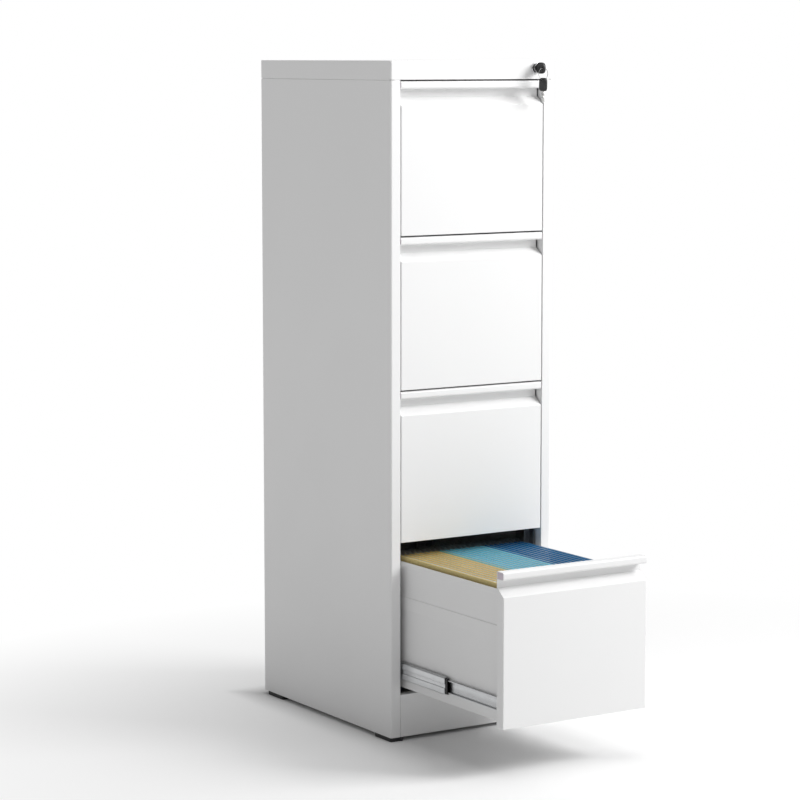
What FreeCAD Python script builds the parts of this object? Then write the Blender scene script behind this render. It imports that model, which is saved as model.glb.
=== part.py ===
"""Four-drawer vertical filing cabinet, lowest drawer standing open with hanging files in it.

Millimetres. +X is to the right, +Y runs back into the cabinet and +Z is up. The origin is on the
floor, midway between the open drawer's front and the rivets on the back.
"""
import FreeCAD
import Part
import Sketcher
import os

DIMENSIONS = [
    # the cabinet's shell
    ("width", 380, "outside of one side panel to the other"),
    ("depth", 503, "front face to rear skirt"),
    ("height", 1330, "floor to top"),
    ("sheet", 1, "thickness of every folded steel sheet"),
    ("foot_height", 8, "corner pad under the base"),
    ("foot_width", 30, "corner pad across"),
    ("foot_length", 62, "corner pad front to back"),
    ("foot_inset", 15, "rear pads' distance from the back"),
    ("cap_height", 36.5, "depth of the lid's skirt"),
    ("cap_seam", 1, "line between the lid's skirt and the side panels"),
    ("edge_radius", 1.5, "upper edge of the lid"),
    ("corner_radius", 4, "outside radius of the shell's vertical corners"),
    ("stile_width", 22, "front face of each side panel"),
    ("stile_return", 20, "fold behind each front stile"),
    ("rear_flange", 14, "fold of each side panel behind the back"),
    ("tongue_height", 30, "strip behind the lid's seam"),
    ("tongue_width", 13, "strip behind the seam on the front stile"),
    ("kick_top", 92.5, "upper edge of the kick plate"),
    ("kick_return", 18, "folds at the kick plate's edges"),
    ("pan_flange", 15, "upstand at the sides of the base pan"),
    ("upright_depth", 30, "channel that carries the slides"),
    ("upright_front", 60, "front channels' distance behind the front face"),
    ("upright_rear", 430, "rear channels' distance behind the front face"),
    ("upright_sheet", 1.2, "thickness of these channels"),
    ("rivet_radius", 2.5, "rivet head"),
    ("rivet_head", 1, "height of a rivet head"),
    ("rivet_margin", 60, "end rivets' distance from the ends of the side panel"),
    # one drawer, measured from its front face and from its front's lower edge
    ("drawer_pitch", 299.5, "from one drawer to the next"),
    ("first_front", 96, "lower edge of the lowest drawer front"),
    ("open_travel", 352.5, "how far the lowest drawer stands open"),
    ("front_width", 332, "drawer front across"),
    ("front_height", 296.5, "drawer front with its handle"),
    ("front_depth", 21, "thickness of the hollow drawer front"),
    ("panel_height", 249, "flat face, below the sloped edge"),
    ("slope_rise", 17, "sloped edge below the finger recess"),
    ("slope_sheet", 1.5, "sloped sheet, measured upright"),
    ("front_radius", 2, "outside edges of the drawer front"),
    ("handle_height", 15, "full-width handle along the top"),
    ("handle_radius", 4, "front edges of the handle"),
    ("handle_cap", 3, "plug in each end of the handle"),
    ("tray_width", 310, "drawer body across"),
    ("tray_length", 444, "drawer body front to back"),
    ("tray_bottom", 8.5, "under side of the drawer body"),
    ("tray_top", 260, "upper edge of the drawer body's sides"),
    ("tray_back", 110, "upper edge of the drawer body's back"),
    ("hem_height", 10, "fold along the upper edge of a side"),
    ("swage_bottom", 166, "lower edge of the pressed stiffening band"),
    ("swage_top", 191, "upper edge of that band"),
    ("swage_depth", 1.2, "how far the band stands out"),
    # hanging files
    ("hanger_top", 268, "upper edge of the cross rails"),
    ("hanger_height", 20, "cross rail's height"),
    ("hanger_sheet", 3, "cross rail's thickness"),
    ("hanger_front", 25.5, "front cross rail's place"),
    ("hanger_rear", 418, "rear cross rail's place"),
    ("file_first", -150.5, "left side of the first file"),
    ("file_pitch", 11.9, "from one file to the next"),
    ("file_thickness", 10, "one filled file"),
    ("file_front", 31, "front edge of a file"),
    ("file_rear", 388, "rear edge of a file"),
    ("file_bottom", 30, "lower fold of a file"),
    ("file_top", 269, "upper edge of a file"),
    ("hook_sheet", 1.5, "thickness of a file's steel hook"),
    ("hook_arm", 4.5, "height of the hook's arm"),
    ("hook_tip", 2, "length of the hook's turned-down tip"),
    ("hook_drop", 12, "how far tip and root reach down"),
    ("hook_play", 1, "clearance of hook and cross rail"),
    # ball-bearing slides
    ("slide_centre", 44, "slide's middle above the front's lower edge"),
    ("slide_start", 23, "front end of the slides"),
    ("slide_length", 450, "cabinet and drawer members"),
    ("slide_sheet", 1.2, "thickness of the slide members"),
    ("outer_half", 22.5, "half the cabinet member's height"),
    ("outer_flange", 10, "cabinet member's flange"),
    ("middle_half", 17, "half the middle member's height"),
    ("middle_flange", 7.5, "middle member's flange"),
    ("middle_gap", 3, "middle member's distance from the upright"),
    ("middle_length", 420, "middle member"),
    ("inner_half", 12.3, "half the drawer member's height"),
    ("inner_flange", 7, "drawer member's flange"),
    ("stop_length", 17, "plastic stop at the middle member's front end"),
    ("stop_reach", 7, "how far the stop stands out in front of it"),
    ("stop_sheet", 2.6, "thickness of the stop's two arms"),
    ("stop_play", 0.3, "clearance round the stop"),
    ("screw_radius", 3.5, "screw head"),
    ("screw_head", 1, "height of a low screw head"),
    ("screw_inset", 15, "slide screws' distance behind an upright's edge"),
    # lock
    ("lock_side", 147.5, "lock's axis, to the right of the middle"),
    ("lock_drop", 15, "lock's axis, below the top"),
    ("bezel_radius", 11, "lock's visible rim"),
    ("bezel_depth", 4, "how far the rim stands out"),
    ("barrel_radius", 9, "threaded barrel"),
    ("barrel_length", 20, "barrel behind the front face"),
    ("barrel_play", 0.1, "clearance round the barrel"),
    ("nut_radius", 13.5, "nut's corners"),
    ("nut_thickness", 4, "nut"),
    ("plug_radius", 6, "turning plug"),
    ("plug_play", 0.05, "running clearance round the plug"),
    ("plug_proud", 0.4, "plug in front of the rim"),
    ("plug_rear", 22, "plug's shoulder behind the front face"),
    ("stub_radius", 4, "stub that carries the drive disc"),
    ("stub_length", 4, "that stub"),
    ("cam_radius", 9.5, "drive disc"),
    ("cam_thickness", 2, "drive disc"),
    ("pin_offset", 5, "drive pin's distance from the axis, both across and up"),
    ("pin_swing", 2.1, "how much further out the pin goes at mid-turn"),
    ("pin_radius", 1.5, "drive pin"),
    ("pin_reach", 32.5, "drive pin's end behind the front face"),
    ("keyway_depth", 14, "keyway behind the front face"),
    ("key_play", 0.2, "clearance round the key's blade"),
    # keys
    ("blade_half", 1, "half a blade's thickness"),
    ("blade_rise", 4, "half a blade's width"),
    ("blade_depth", 13, "blade's end behind the front face"),
    ("tang", 2, "blade inside the plastic head"),
    ("head_half", 2.5, "half a plastic head's thickness"),
    ("head_rise", 11, "half a plastic head's width"),
    ("head_length", 26, "plastic head"),
    ("head_start", 5, "plastic head's distance in front of the front face"),
    ("head_radius", 7, "corners of a plastic head"),
    ("hole_radius", 2.3, "hole in a plastic head"),
    ("ring_front", 26, "key ring's plane in front of the front face"),
    ("ring_radius", 11, "key ring, to the middle of its wire"),
    ("wire_radius", 0.7, "key ring's wire"),
    # locking bar
    ("bar_side", 170, "bar's inner face, to the right of the middle"),
    ("bar_sheet", 2, "bar's thickness"),
    ("bar_front", 30, "bar's front edge behind the front face"),
    ("bar_depth", 15, "bar's width, front to back"),
    ("bar_top", 4, "bar's upper end below the top"),
    ("link_height", 13, "plate that the drive pin lifts"),
    ("link_sheet", 1.5, "that plate's thickness"),
    ("link_margin", 2.5, "plate beside its slot"),
    ("slot_play", 0.5, "clearance of pin and slot"),
    ("finger_reach", 157.5, "finger's end, to the right of the middle"),
    ("finger_bottom", 243, "finger's lower edge when unlocked"),
    ("finger_height", 12, "finger"),
    ("finger_front", 35.5, "finger's place behind the front face"),
    ("catch_top", 241, "upper edge of the drawer's catch"),
    ("catch_height", 16, "catch"),
    ("catch_reach", 9, "how far the catch stands out"),
    ("catch_front", 40, "catch's place behind the drawer's front face"),
    ("guide_first", 480, "lowest guide of the bar"),
    ("guide_pitch", 320, "from one guide to the next"),
    ("guide_height", 8, "guide"),
    ("guide_wall", 4, "guide in front of and behind the bar"),
    ("guide_play", 0.4, "clearance round the bar"),
]
DRAWERS = 4
OPEN_DRAWER = 4
FILE_COLOURS = [("yellow_files", 8), ("light_blue_files", 9), ("dark_blue_files", 8)]
GUIDES = 3
RIVETS_PER_SIDE = 5
SIDES = (-1, 1)


class Size:
    """A length that carries its value and the spreadsheet expression that gives it."""

    def __init__(self, text, value):
        self.text = text
        self.value = value

    @staticmethod
    def of(number):
        return number if isinstance(number, Size) else Size(f"({number})", number)

    def __add__(self, other):
        other = Size.of(other)
        return Size(f"({self.text} + {other.text})", self.value + other.value)

    def __sub__(self, other):
        other = Size.of(other)
        return Size(f"({self.text} - {other.text})", self.value - other.value)

    def __mul__(self, number):
        return Size(f"({self.text} * ({number}))", self.value * number)

    def __truediv__(self, number):
        return Size(f"({self.text} / {number})", self.value / number)

    def __neg__(self):
        return self * -1

    __radd__ = __add__
    __rmul__ = __mul__


doc = FreeCAD.newDocument("FilingCabinet")
sheet = doc.addObject("Spreadsheet::Sheet", "Sizes")
size = {}
for row, (alias, number, note) in enumerate(DIMENSIONS, start=1):
    sheet.set(f"A{row}", note)
    sheet.set(f"B{row}", str(number))
    sheet.setAlias(f"B{row}", alias)
    size[alias] = Size("Sizes." + alias, number)
doc.recompute()

ZERO = Size("0", 0.0)
nodes = []


# ---- building helpers -------------------------------------------------------------------------

def node(name, feature):
    """Keeps a finished sub-part under the name of its node."""
    feature.Label = name
    nodes.append((name, feature))
    return feature


def place(feature, x, y, z):
    for axis, value in zip("xyz", (x, y, z)):
        feature.setExpression(f"Placement.Base.{axis}", Size.of(value).text)


def block(x, y, z, name="block"):
    """A box between two limits on each axis."""
    box = doc.addObject("Part::Box", name)
    place(box, x[0], y[0], z[0])
    for side, (low, high) in zip(("Length", "Width", "Height"), (x, y, z)):
        box.setExpression(side, (Size.of(high) - low).text)
    return box


ALONG = {
    "x": FreeCAD.Rotation(FreeCAD.Vector(0, 1, 0), 90),
    "y": FreeCAD.Rotation(FreeCAD.Vector(1, 0, 0), -90),
    "z": FreeCAD.Rotation(),
}


def rod(along, start, radius, length, name="rod"):
    """A cylinder from the middle of one end, running along +X, +Y or +Z."""
    cylinder = doc.addObject("Part::Cylinder", name)
    cylinder.Placement.Rotation = ALONG[along]
    place(cylinder, *start)
    cylinder.setExpression("Radius", Size.of(radius).text)
    cylinder.setExpression("Height", Size.of(length).text)
    return cylinder


def join(pieces, name="join"):
    fuse = doc.addObject("Part::MultiFuse", name)
    fuse.Shapes = pieces
    fuse.Refine = True
    return fuse


def cut(base, tool, name="cut"):
    result = doc.addObject("Part::Cut", name)
    result.Base = base
    result.Tool = tool
    result.Refine = True
    return result


def group(pieces, name="group"):
    """Several separate solids kept in one node."""
    compound = doc.addObject("Part::Compound", name)
    compound.Links = pieces
    return compound


def outward(side, near, far):
    """The limits on X of a piece that lies from near to far on the left or the right side."""
    near, far = Size.of(near), Size.of(far)
    return (near, far) if side > 0 else (-far, -near)


def matching_edges(shape, along, spots):
    """Numbers of the straight edges parallel to an axis whose middle is at one of the spots."""
    others = [axis for axis in "xyz" if axis != along]
    found = []
    for number, edge in enumerate(shape.Edges, start=1):
        if not isinstance(edge.Curve, Part.Line):
            continue
        first, last = (vertex.Point for vertex in edge.Vertexes)
        if max(abs(getattr(last - first, axis)) for axis in others) > 1e-6:
            continue
        for spot in spots:
            if all(abs(getattr(first, axis) - want) < 1e-4 for axis, want in zip(others, spot)):
                found.append(number)
    return found


def rounded(base, along, rounds, name="rounded"):
    """Fillets straight edges along an axis; rounds pairs a radius with the edges' spots."""
    doc.recompute()
    fillet = doc.addObject("Part::Fillet", name)
    fillet.Base = base
    edges = []
    for radius, spots in rounds:
        values = [[Size.of(value).value for value in spot] for spot in spots]
        for number in matching_edges(base.Shape, along, values):
            edges.append((number, radius.value, radius.value))
    fillet.Edges = edges
    return fillet


def outline(body, role, corners):
    """A closed outline of straight lines on one of the body's own planes, each corner bound."""
    sketch = body.newObject("Sketcher::SketchObject", "outline")
    plane = next(item for item in body.Origin.OriginFeatures if item.Role == role)
    sketch.AttachmentSupport = [(plane, "")]
    sketch.MapMode = "FlatFace"
    corners = [(Size.of(across), Size.of(up)) for across, up in corners]
    points = [FreeCAD.Vector(across.value, up.value, 0) for across, up in corners]
    count = len(points)
    for index, point in enumerate(points):
        sketch.addGeometry(Part.LineSegment(point, points[(index + 1) % count]))
    for index in range(count):
        following = (index + 1) % count
        sketch.addConstraint(Sketcher.Constraint("Coincident", index, 2, following, 1))
    for index, corner in enumerate(corners):
        for kind, value in zip(("DistanceX", "DistanceY"), corner):
            held = Sketcher.Constraint(kind, -1, 1, index, 1, value.value)
            number = sketch.addConstraint(held)
            sketch.setExpression(f"Constraints[{number}]", value.text)
    return sketch


def extruded(body, kind, corners, length):
    """A Pad or Pocket of an outline across the drawer, equally to both sides of the middle."""
    feature = body.newObject(kind, kind.split("::")[1].lower())
    feature.Profile = outline(body, "YZ_Plane", corners)
    feature.SideType = "Symmetric"
    feature.setExpression("Length", length.text)
    doc.recompute()
    return feature


def body_fillet(body, base, radius, along, spots):
    fillet = body.newObject("PartDesign::Fillet", "fillet")
    values = [[Size.of(value).value for value in spot] for spot in spots]
    names = [f"Edge{number}" for number in matching_edges(base.Shape, along, values)]
    fillet.Base = (base, names)
    fillet.setExpression("Radius", radius.text)
    doc.recompute()
    return fillet


# ---- places that several pieces share ---------------------------------------------------------

T = size["sheet"]
HALF = size["width"] / 2
FRONT = (size["open_travel"] - size["depth"] - size["rivet_head"]) / 2
BACK = FRONT + size["depth"]
BASE = size["foot_height"]
CAP_BOTTOM = size["height"] - size["cap_height"]
SIDE_TOP = CAP_BOTTOM - size["cap_seam"]
OPENING = HALF - size["stile_width"]
LOCK_X = size["lock_side"]
LOCK_Z = size["height"] - size["lock_drop"]


def behind(distance):
    """Y of a point this far behind the cabinet's front face."""
    return FRONT + distance


def drawer_origin(number):
    """Y of a drawer's front face and Z of its lower edge; drawer 1 is the top one."""
    opened = size["open_travel"] if number == OPEN_DRAWER else ZERO
    return FRONT - opened, size["first_front"] + size["drawer_pitch"] * (DRAWERS - number)


# ---- shell ------------------------------------------------------------------------------------

def side_panel(name, side):
    """One sheet folded into front stile, side and rear flange, with a strip behind the lid's seam."""
    tall = (BASE, SIDE_TOP)
    stile = HALF - size["stile_width"]
    clear = size["corner_radius"] + 2
    strip = (SIDE_TOP - size["tongue_height"] / 2, SIDE_TOP + size["tongue_height"] / 2)
    panel = join([
        block(outward(side, HALF - T, HALF), (FRONT, BACK), tall),
        block(outward(side, stile, HALF), (FRONT, FRONT + T), tall),
        block(outward(side, stile, stile + T), (FRONT, behind(size["stile_return"])), tall),
        block(outward(side, HALF - size["rear_flange"], HALF), (BACK - T, BACK), tall),
        block(outward(side, HALF - T * 2, HALF - T), (FRONT + clear, BACK - clear), strip),
        block(outward(side, stile, stile + size["tongue_width"]), (FRONT + T, FRONT + T * 2), strip),
    ])
    outer = [(HALF * side, FRONT), (HALF * side, BACK)]
    inner = [((HALF - T) * side, FRONT + T), ((HALF - T) * side, BACK - T)]
    rounds = [(size["corner_radius"], outer), (size["corner_radius"] - T, inner)]
    node(name, rounded(panel, "z", rounds))


def top_cap():
    """The lid: a sheet folded down on all four sides, its front skirt bored for the lock."""
    top = size["height"]
    outside = block((-HALF, HALF), (FRONT, BACK), (CAP_BOTTOM, top))
    inside = block((T - HALF, HALF - T), (FRONT + T, BACK - T), (CAP_BOTTOM, top - T))
    lid = cut(outside, inside)
    outer = [(HALF * side, y) for side in SIDES for y in (FRONT, BACK)]
    inner = [((HALF - T) * side, y) for side in SIDES for y in (FRONT + T, BACK - T)]
    rounds = [(size["corner_radius"], outer), (size["corner_radius"] - T, inner)]
    lid = rounded(lid, "z", rounds)
    doc.recompute()
    edge = doc.addObject("Part::Fillet", "lid_edge")
    edge.Base = lid
    radius = size["edge_radius"].value
    rim = []
    for number, line in enumerate(lid.Shape.Edges, start=1):
        if line.BoundBox.ZMin > top.value - 1e-6:
            rim.append((number, radius, radius))
    edge.Edges = rim
    hole = rod("y", (LOCK_X, FRONT - T, LOCK_Z), size["barrel_radius"] + size["barrel_play"], T * 3)
    node("top_cap", cut(edge, hole))


def back_panel():
    """Flat sheet riveted inside the side panels' rear flanges and behind the lid's skirt."""
    wide = HALF - size["corner_radius"] - T / 2
    top = SIDE_TOP + size["tongue_height"] / 2
    node("back_panel", block((-wide, wide), (BACK - T * 2, BACK - T), (BASE, top)))


def back_rivets():
    """Rivet heads down both rear flanges."""
    x = HALF - size["rear_flange"] / 2
    start = BASE + size["rivet_margin"]
    step = (SIDE_TOP - start - size["rivet_margin"]) / (RIVETS_PER_SIDE - 1)
    heads = []
    for side in SIDES:
        for index in range(RIVETS_PER_SIDE):
            spot = (x * side, BACK, start + step * index)
            heads.append(rod("y", spot, size["rivet_radius"], size["rivet_head"]))
    node("back_rivets", group(heads))


def kick_plate():
    """Channel between the front stiles, below the lowest drawer."""
    wide = (size["cap_seam"] / 2 - OPENING, OPENING - size["cap_seam"] / 2)
    deep = (FRONT, behind(size["kick_return"]))
    top = size["kick_top"]
    node("kick_plate", join([
        block(wide, (FRONT, FRONT + T), (BASE, top)),
        block(wide, deep, (top - T, top)),
        block(wide, deep, (BASE, BASE + T)),
    ]))


def base_pan():
    """Floor of the cabinet, turned up at both sides."""
    deep = (behind(size["stile_return"]) + T, BACK - size["corner_radius"] - T)
    flanges = []
    for side in SIDES:
        edge = outward(side, HALF - T * 2, HALF - T)
        flanges.append(block(edge, deep, (BASE, BASE + size["pan_flange"])))
    floor = block((T - HALF, HALF - T), deep, (BASE, BASE + T))
    node("base_pan", join([floor] + flanges))


def feet():
    """Four corner pads under the base."""
    pads = []
    front = (FRONT, FRONT + size["foot_length"])
    rear = (BACK - size["foot_inset"] - size["foot_length"], BACK - size["foot_inset"])
    for side in SIDES:
        x = outward(side, HALF - size["foot_width"], HALF)
        for y in (front, rear):
            pad = block(x, y, (ZERO, BASE))
            corners = [(a, b) for a in x for b in y]
            pads.append(rounded(pad, "z", [(size["corner_radius"], corners)]))
    node("feet", group(pads))


def uprights():
    """Channels inside both side panels, to which the slides are screwed."""
    thick = size["upright_sheet"]
    tall = (BASE + T, SIDE_TOP - size["tongue_height"])
    channels = []
    for side in SIDES:
        for start in ("upright_front", "upright_rear"):
            near = behind(size[start])
            far = near + size["upright_depth"]
            reach = outward(side, OPENING, HALF - T * 2)
            channels.append(join([
                block(outward(side, OPENING, OPENING + thick), (near, far), tall),
                block(reach, (near, near + thick), tall),
                block(reach, (far - thick, far), tall),
            ]))
    node("uprights", group(channels))


# ---- slides -----------------------------------------------------------------------------------

def channel(side, web, flange, half, centre, y):
    """A slide member: a web on one side of the opening, with two flanges towards or away from it."""
    thick = size["slide_sheet"]
    return join([
        block(web, y, (centre - half, centre + half)),
        block(flange, y, (centre - half, centre - half + thick)),
        block(flange, y, (centre + half - thick, centre + half)),
    ])


def cabinet_rails():
    """The slides' outer members, one on each side of every drawer."""
    thick = size["slide_sheet"]
    y = (behind(size["slide_start"]), behind(size["slide_start"] + size["slide_length"]))
    members = []
    for number in range(1, DRAWERS + 1):
        centre = drawer_origin(number)[1] + size["slide_centre"]
        for side in SIDES:
            web = outward(side, OPENING - thick, OPENING)
            flange = outward(side, OPENING - size["outer_flange"], OPENING)
            members.append(channel(side, web, flange, size["outer_half"], centre, y))
    node("cabinet_rails", group(members))


def rail_screws():
    """Low-headed screws that hold the cabinet members on the uprights."""
    heads = []
    reach = OPENING - size["slide_sheet"]
    for number in range(1, DRAWERS + 1):
        centre = drawer_origin(number)[1] + size["slide_centre"]
        for side in SIDES:
            x = reach - size["screw_head"] if side > 0 else -reach
            for start in ("upright_front", "upright_rear"):
                y = behind(size[start] + size["screw_inset"])
                heads.append(rod("x", (x, y, centre), size["screw_radius"], size["screw_head"]))
    node("rail_screws", group(heads))


def middle_rails(number):
    """The slides' middle members, which travel half as far as the drawer."""
    face, bottom = drawer_origin(number)
    start = (face + FRONT) / 2 + size["slide_start"]
    y = (start, start + size["middle_length"])
    centre = bottom + size["slide_centre"]
    web_far = OPENING - size["middle_gap"]
    web_near = web_far - size["slide_sheet"]
    members = []
    stops = []
    for side in SIDES:
        flange = outward(side, web_far - size["middle_flange"], web_far)
        web = outward(side, web_near, web_far)
        members.append(channel(side, web, flange, size["middle_half"], centre, y))
        stops.append(rail_stop(side, web_near, centre, start))
    node(f"drawer_{number}_middle_rails", group(members))
    node(f"drawer_{number}_rail_stops", group(stops))


def rail_stop(side, web_near, centre, start):
    """Plastic stop: a small channel inside the middle member, round the drawer member."""
    y = (start - size["stop_reach"], start - size["stop_reach"] + size["stop_length"])
    play = size["stop_play"]
    high = size["middle_half"] - size["slide_sheet"] - play
    low = high - size["stop_sheet"]
    back = (web_near - play - T, web_near - play)
    arm = outward(side, OPENING - size["outer_flange"], web_near - play)
    return join([
        block(outward(side, *back), y, (centre - high, centre + high)),
        block(arm, y, (centre - high, centre - low)),
        block(arm, y, (centre + low, centre + high)),
    ])


# ---- drawers ----------------------------------------------------------------------------------

def drawer_front(number):
    """Hollow steel front: flat face, sloped upper edge, folded back at the sides and the bottom."""
    face, bottom = drawer_origin(number)
    deep, tall = size["front_depth"], size["panel_height"]
    top = tall + size["slope_rise"]
    body = doc.addObject("PartDesign::Body", "front")
    place(body, 0, face, bottom)
    skin = extruded(body, "PartDesign::Pad",
                    [(0, 0), (0, tall), (deep, top), (deep, 0)], size["front_width"])
    skin = extruded(body, "PartDesign::Pocket",
                    [(T, T), (T, tall - T), (deep, top - size["slope_sheet"]), (deep, T)],
                    size["front_width"] - T * 2)
    edge = size["front_width"] / 2
    skin = body_fillet(body, skin, size["front_radius"], "z", [(edge, 0), (-edge, 0)])
    node(f"drawer_{number}_front", body)


def drawer_handle(number):
    """Box-section handle along the drawer's whole width, with a plug in each end."""
    face, bottom = drawer_origin(number)
    deep = size["front_depth"]
    high = size["front_height"]
    low = high - size["handle_height"]
    body = doc.addObject("PartDesign::Body", "handle")
    place(body, 0, face, bottom)
    tube = extruded(body, "PartDesign::Pad",
                    [(0, low), (0, high), (deep, high), (deep, low)], size["front_width"])
    tube = extruded(body, "PartDesign::Pocket",
                    [(T, low + T), (T, high - T), (deep - T, high - T), (deep - T, low + T)],
                    size["front_width"])
    tube = body_fillet(body, tube, size["handle_radius"] - T, "x", [(T, low + T), (T, high - T)])
    tube = body_fillet(body, tube, size["handle_radius"], "x", [(0, low), (0, high)])
    node(f"drawer_{number}_handle", body)
    node(f"drawer_{number}_handle_caps", handle_caps(face, bottom + low, bottom + high))


def handle_caps(face, low, high):
    """Plugs that close the two ends of a handle."""
    y = (face + T, face + size["front_depth"] - T)
    z = (low + T, high - T)
    edge = size["front_width"] / 2
    corners = [(y[0], z[0]), (y[0], z[1])]
    caps = []
    for side in SIDES:
        cap = block(outward(side, edge - size["handle_cap"], edge), y, z)
        caps.append(rounded(cap, "x", [(size["handle_radius"] - T, corners)]))
    return group(caps)


def drawer_tray(number):
    """Drawer body: floor and four walls, folded hems and pressed bands, with the lock's catch on it."""
    face, bottom = drawer_origin(number)
    half = size["tray_width"] / 2
    near = face + size["front_depth"]
    far = near + size["tray_length"]
    floor = bottom + size["tray_bottom"]
    rim = bottom + size["tray_top"]
    plate = size["front_width"] / 2
    wide, deep = (-half, half), (near, far)
    pieces = [
        block(wide, deep, (floor, floor + T)),
        block(wide, (near, near + T), (floor, rim)),
        block((-plate, plate), (near, near + T), (rim, bottom + size["front_height"] - T)),
        block(wide, (far - T, far), (floor, bottom + size["tray_back"])),
    ]
    for side in SIDES:
        band = (bottom + size["swage_bottom"], bottom + size["swage_top"])
        pieces += [
            block(outward(side, half - T, half), deep, (floor, rim)),
            block(outward(side, half, half + T), deep, (rim - size["hem_height"], rim)),
            block(outward(side, half, half + size["swage_depth"]), deep, band),
        ]
    catch_y = face + size["catch_front"]
    catch_top = bottom + size["catch_top"]
    catch = block(outward(1, half, half + size["catch_reach"]),
                  (catch_y, catch_y + T * 2), (catch_top - size["catch_height"], catch_top))
    node(f"drawer_{number}_tray", group([join(pieces), catch]))


def drawer_rails(number):
    """The slides' drawer members, fixed to both sides of the drawer body."""
    face, bottom = drawer_origin(number)
    y = (face + size["slide_start"], face + size["slide_start"] + size["slide_length"])
    half = size["tray_width"] / 2
    members = []
    for side in SIDES:
        web = outward(side, half, half + size["slide_sheet"])
        flange = outward(side, half, half + size["inner_flange"])
        centre = bottom + size["slide_centre"]
        members.append(channel(side, web, flange, size["inner_half"], centre, y))
    node(f"drawer_{number}_inner_rails", group(members))


def hanger_rails(number):
    """Front and rear cross rails that hanging files hook on to."""
    face, bottom = drawer_origin(number)
    half = size["tray_width"] / 2 - T
    z = (bottom + size["hanger_top"] - size["hanger_height"], bottom + size["hanger_top"])
    rails = []
    for start in ("hanger_front", "hanger_rear"):
        y = face + size[start]
        rails.append(block((-half, half), (y, y + size["hanger_sheet"]), z))
    node(f"drawer_{number}_hanger_rails", group(rails))


# ---- files in the open drawer -----------------------------------------------------------------

def file_hook(x, root, direction, rail_face, bottom):
    """Steel hook at one end of a file: root on the card, arm over the cross rail, tip behind it."""
    low = bottom + size["hanger_top"] + size["stop_play"]
    high = low + size["hook_arm"]
    down = high - size["hook_drop"]
    tip = rail_face + size["hook_play"] * direction
    end = tip + size["hook_tip"] * direction
    foot = root + size["hanger_sheet"] / 2 * direction

    def span(a, b):
        return (a, b) if direction > 0 else (b, a)

    return join([
        block(x, span(root, end), (low, high)),
        block(x, span(tip, end), (down, high)),
        block(x, span(root, foot), (down, high)),
    ])


def hanging_files():
    """Three colours of filled hanging files, side by side, each with a hook at both ends."""
    face, bottom = drawer_origin(OPEN_DRAWER)
    y = (face + size["file_front"], face + size["file_rear"])
    z = (bottom + size["file_bottom"], bottom + size["file_top"])
    front_rail = face + size["hanger_front"]
    rear_rail = face + size["hanger_rear"] + size["hanger_sheet"]
    hooks = []
    index = 0
    for name, count in FILE_COLOURS:
        files = []
        for _ in range(count):
            left = size["file_first"] + size["file_pitch"] * index
            middle = left + size["file_thickness"] / 2
            x = (middle - size["hook_sheet"] / 2, middle + size["hook_sheet"] / 2)
            files.append(block((left, left + size["file_thickness"]), y, z))
            hooks.append(file_hook(x, y[0], -1, front_rail, bottom))
            hooks.append(file_hook(x, y[1], 1, rear_rail, bottom))
            index += 1
        node(name, group(files))
    node("file_hooks", group(hooks))


# ---- lock -------------------------------------------------------------------------------------

def lock_housing():
    """Rim and threaded barrel, held in the lid's skirt by a nut."""
    rim = rod("y", (LOCK_X, behind(-size["bezel_depth"]), LOCK_Z),
              size["bezel_radius"], size["bezel_depth"])
    barrel = rod("y", (LOCK_X, FRONT, LOCK_Z), size["barrel_radius"], size["barrel_length"])
    bore = rod("y", (LOCK_X, behind(-size["bezel_depth"] * 2), LOCK_Z),
               size["plug_radius"] + size["plug_play"], size["barrel_length"] * 2)
    node("lock_housing", cut(join([rim, barrel]), bore))

    nut = doc.addObject("Part::Prism", "nut")
    nut.Polygon = 6
    nut.Placement.Rotation = ALONG["y"]
    place(nut, LOCK_X, FRONT + T, LOCK_Z)
    nut.setExpression("Circumradius", size["nut_radius"].text)
    nut.setExpression("Height", size["nut_thickness"].text)
    thread = rod("y", (LOCK_X, FRONT, LOCK_Z),
                 size["barrel_radius"] + size["barrel_play"], size["barrel_length"])
    node("lock_nut", cut(nut, thread))


def lock_plug():
    """Turning plug with its keyway, and the drive disc on the plug's stub."""
    start = behind(-size["bezel_depth"] - size["plug_proud"])
    shoulder = behind(size["plug_rear"])
    plug = rod("y", (LOCK_X, start, LOCK_Z), size["plug_radius"], shoulder - start)
    stub = rod("y", (LOCK_X, shoulder, LOCK_Z), size["stub_radius"], size["stub_length"])
    half = size["blade_half"] + size["key_play"]
    rise = size["blade_rise"] + size["key_play"]
    keyway = block((LOCK_X - half, LOCK_X + half), (start - T, behind(size["keyway_depth"])),
                   (LOCK_Z - rise, LOCK_Z + rise))
    node("lock_plug", cut(join([plug, stub]), keyway))

    seat = shoulder + size["plug_play"]
    disc = rod("y", (LOCK_X, seat, LOCK_Z), size["cam_radius"], size["cam_thickness"])
    pin_x, pin_z = LOCK_X + size["pin_offset"], LOCK_Z + size["pin_offset"]
    pin = rod("y", (pin_x, seat, pin_z), size["pin_radius"], behind(size["pin_reach"]) - seat)
    hole = rod("y", (LOCK_X, shoulder, LOCK_Z), size["stub_radius"] + size["plug_play"],
               size["stub_length"])
    node("lock_cam", cut(join([disc, pin]), hole))


def key_head(y, z, hole):
    """Moulded plastic head in the YZ plane, with rounded corners and a hole for the ring."""
    half = size["head_half"]
    x = (LOCK_X - half, LOCK_X + half)
    corners = [(a, b) for a in y for b in z]
    head = rounded(block(x, y, z), "x", [(size["head_radius"], corners)])
    return cut(head, rod("x", (x[0] - T, *hole), size["hole_radius"], half * 4))


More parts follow.
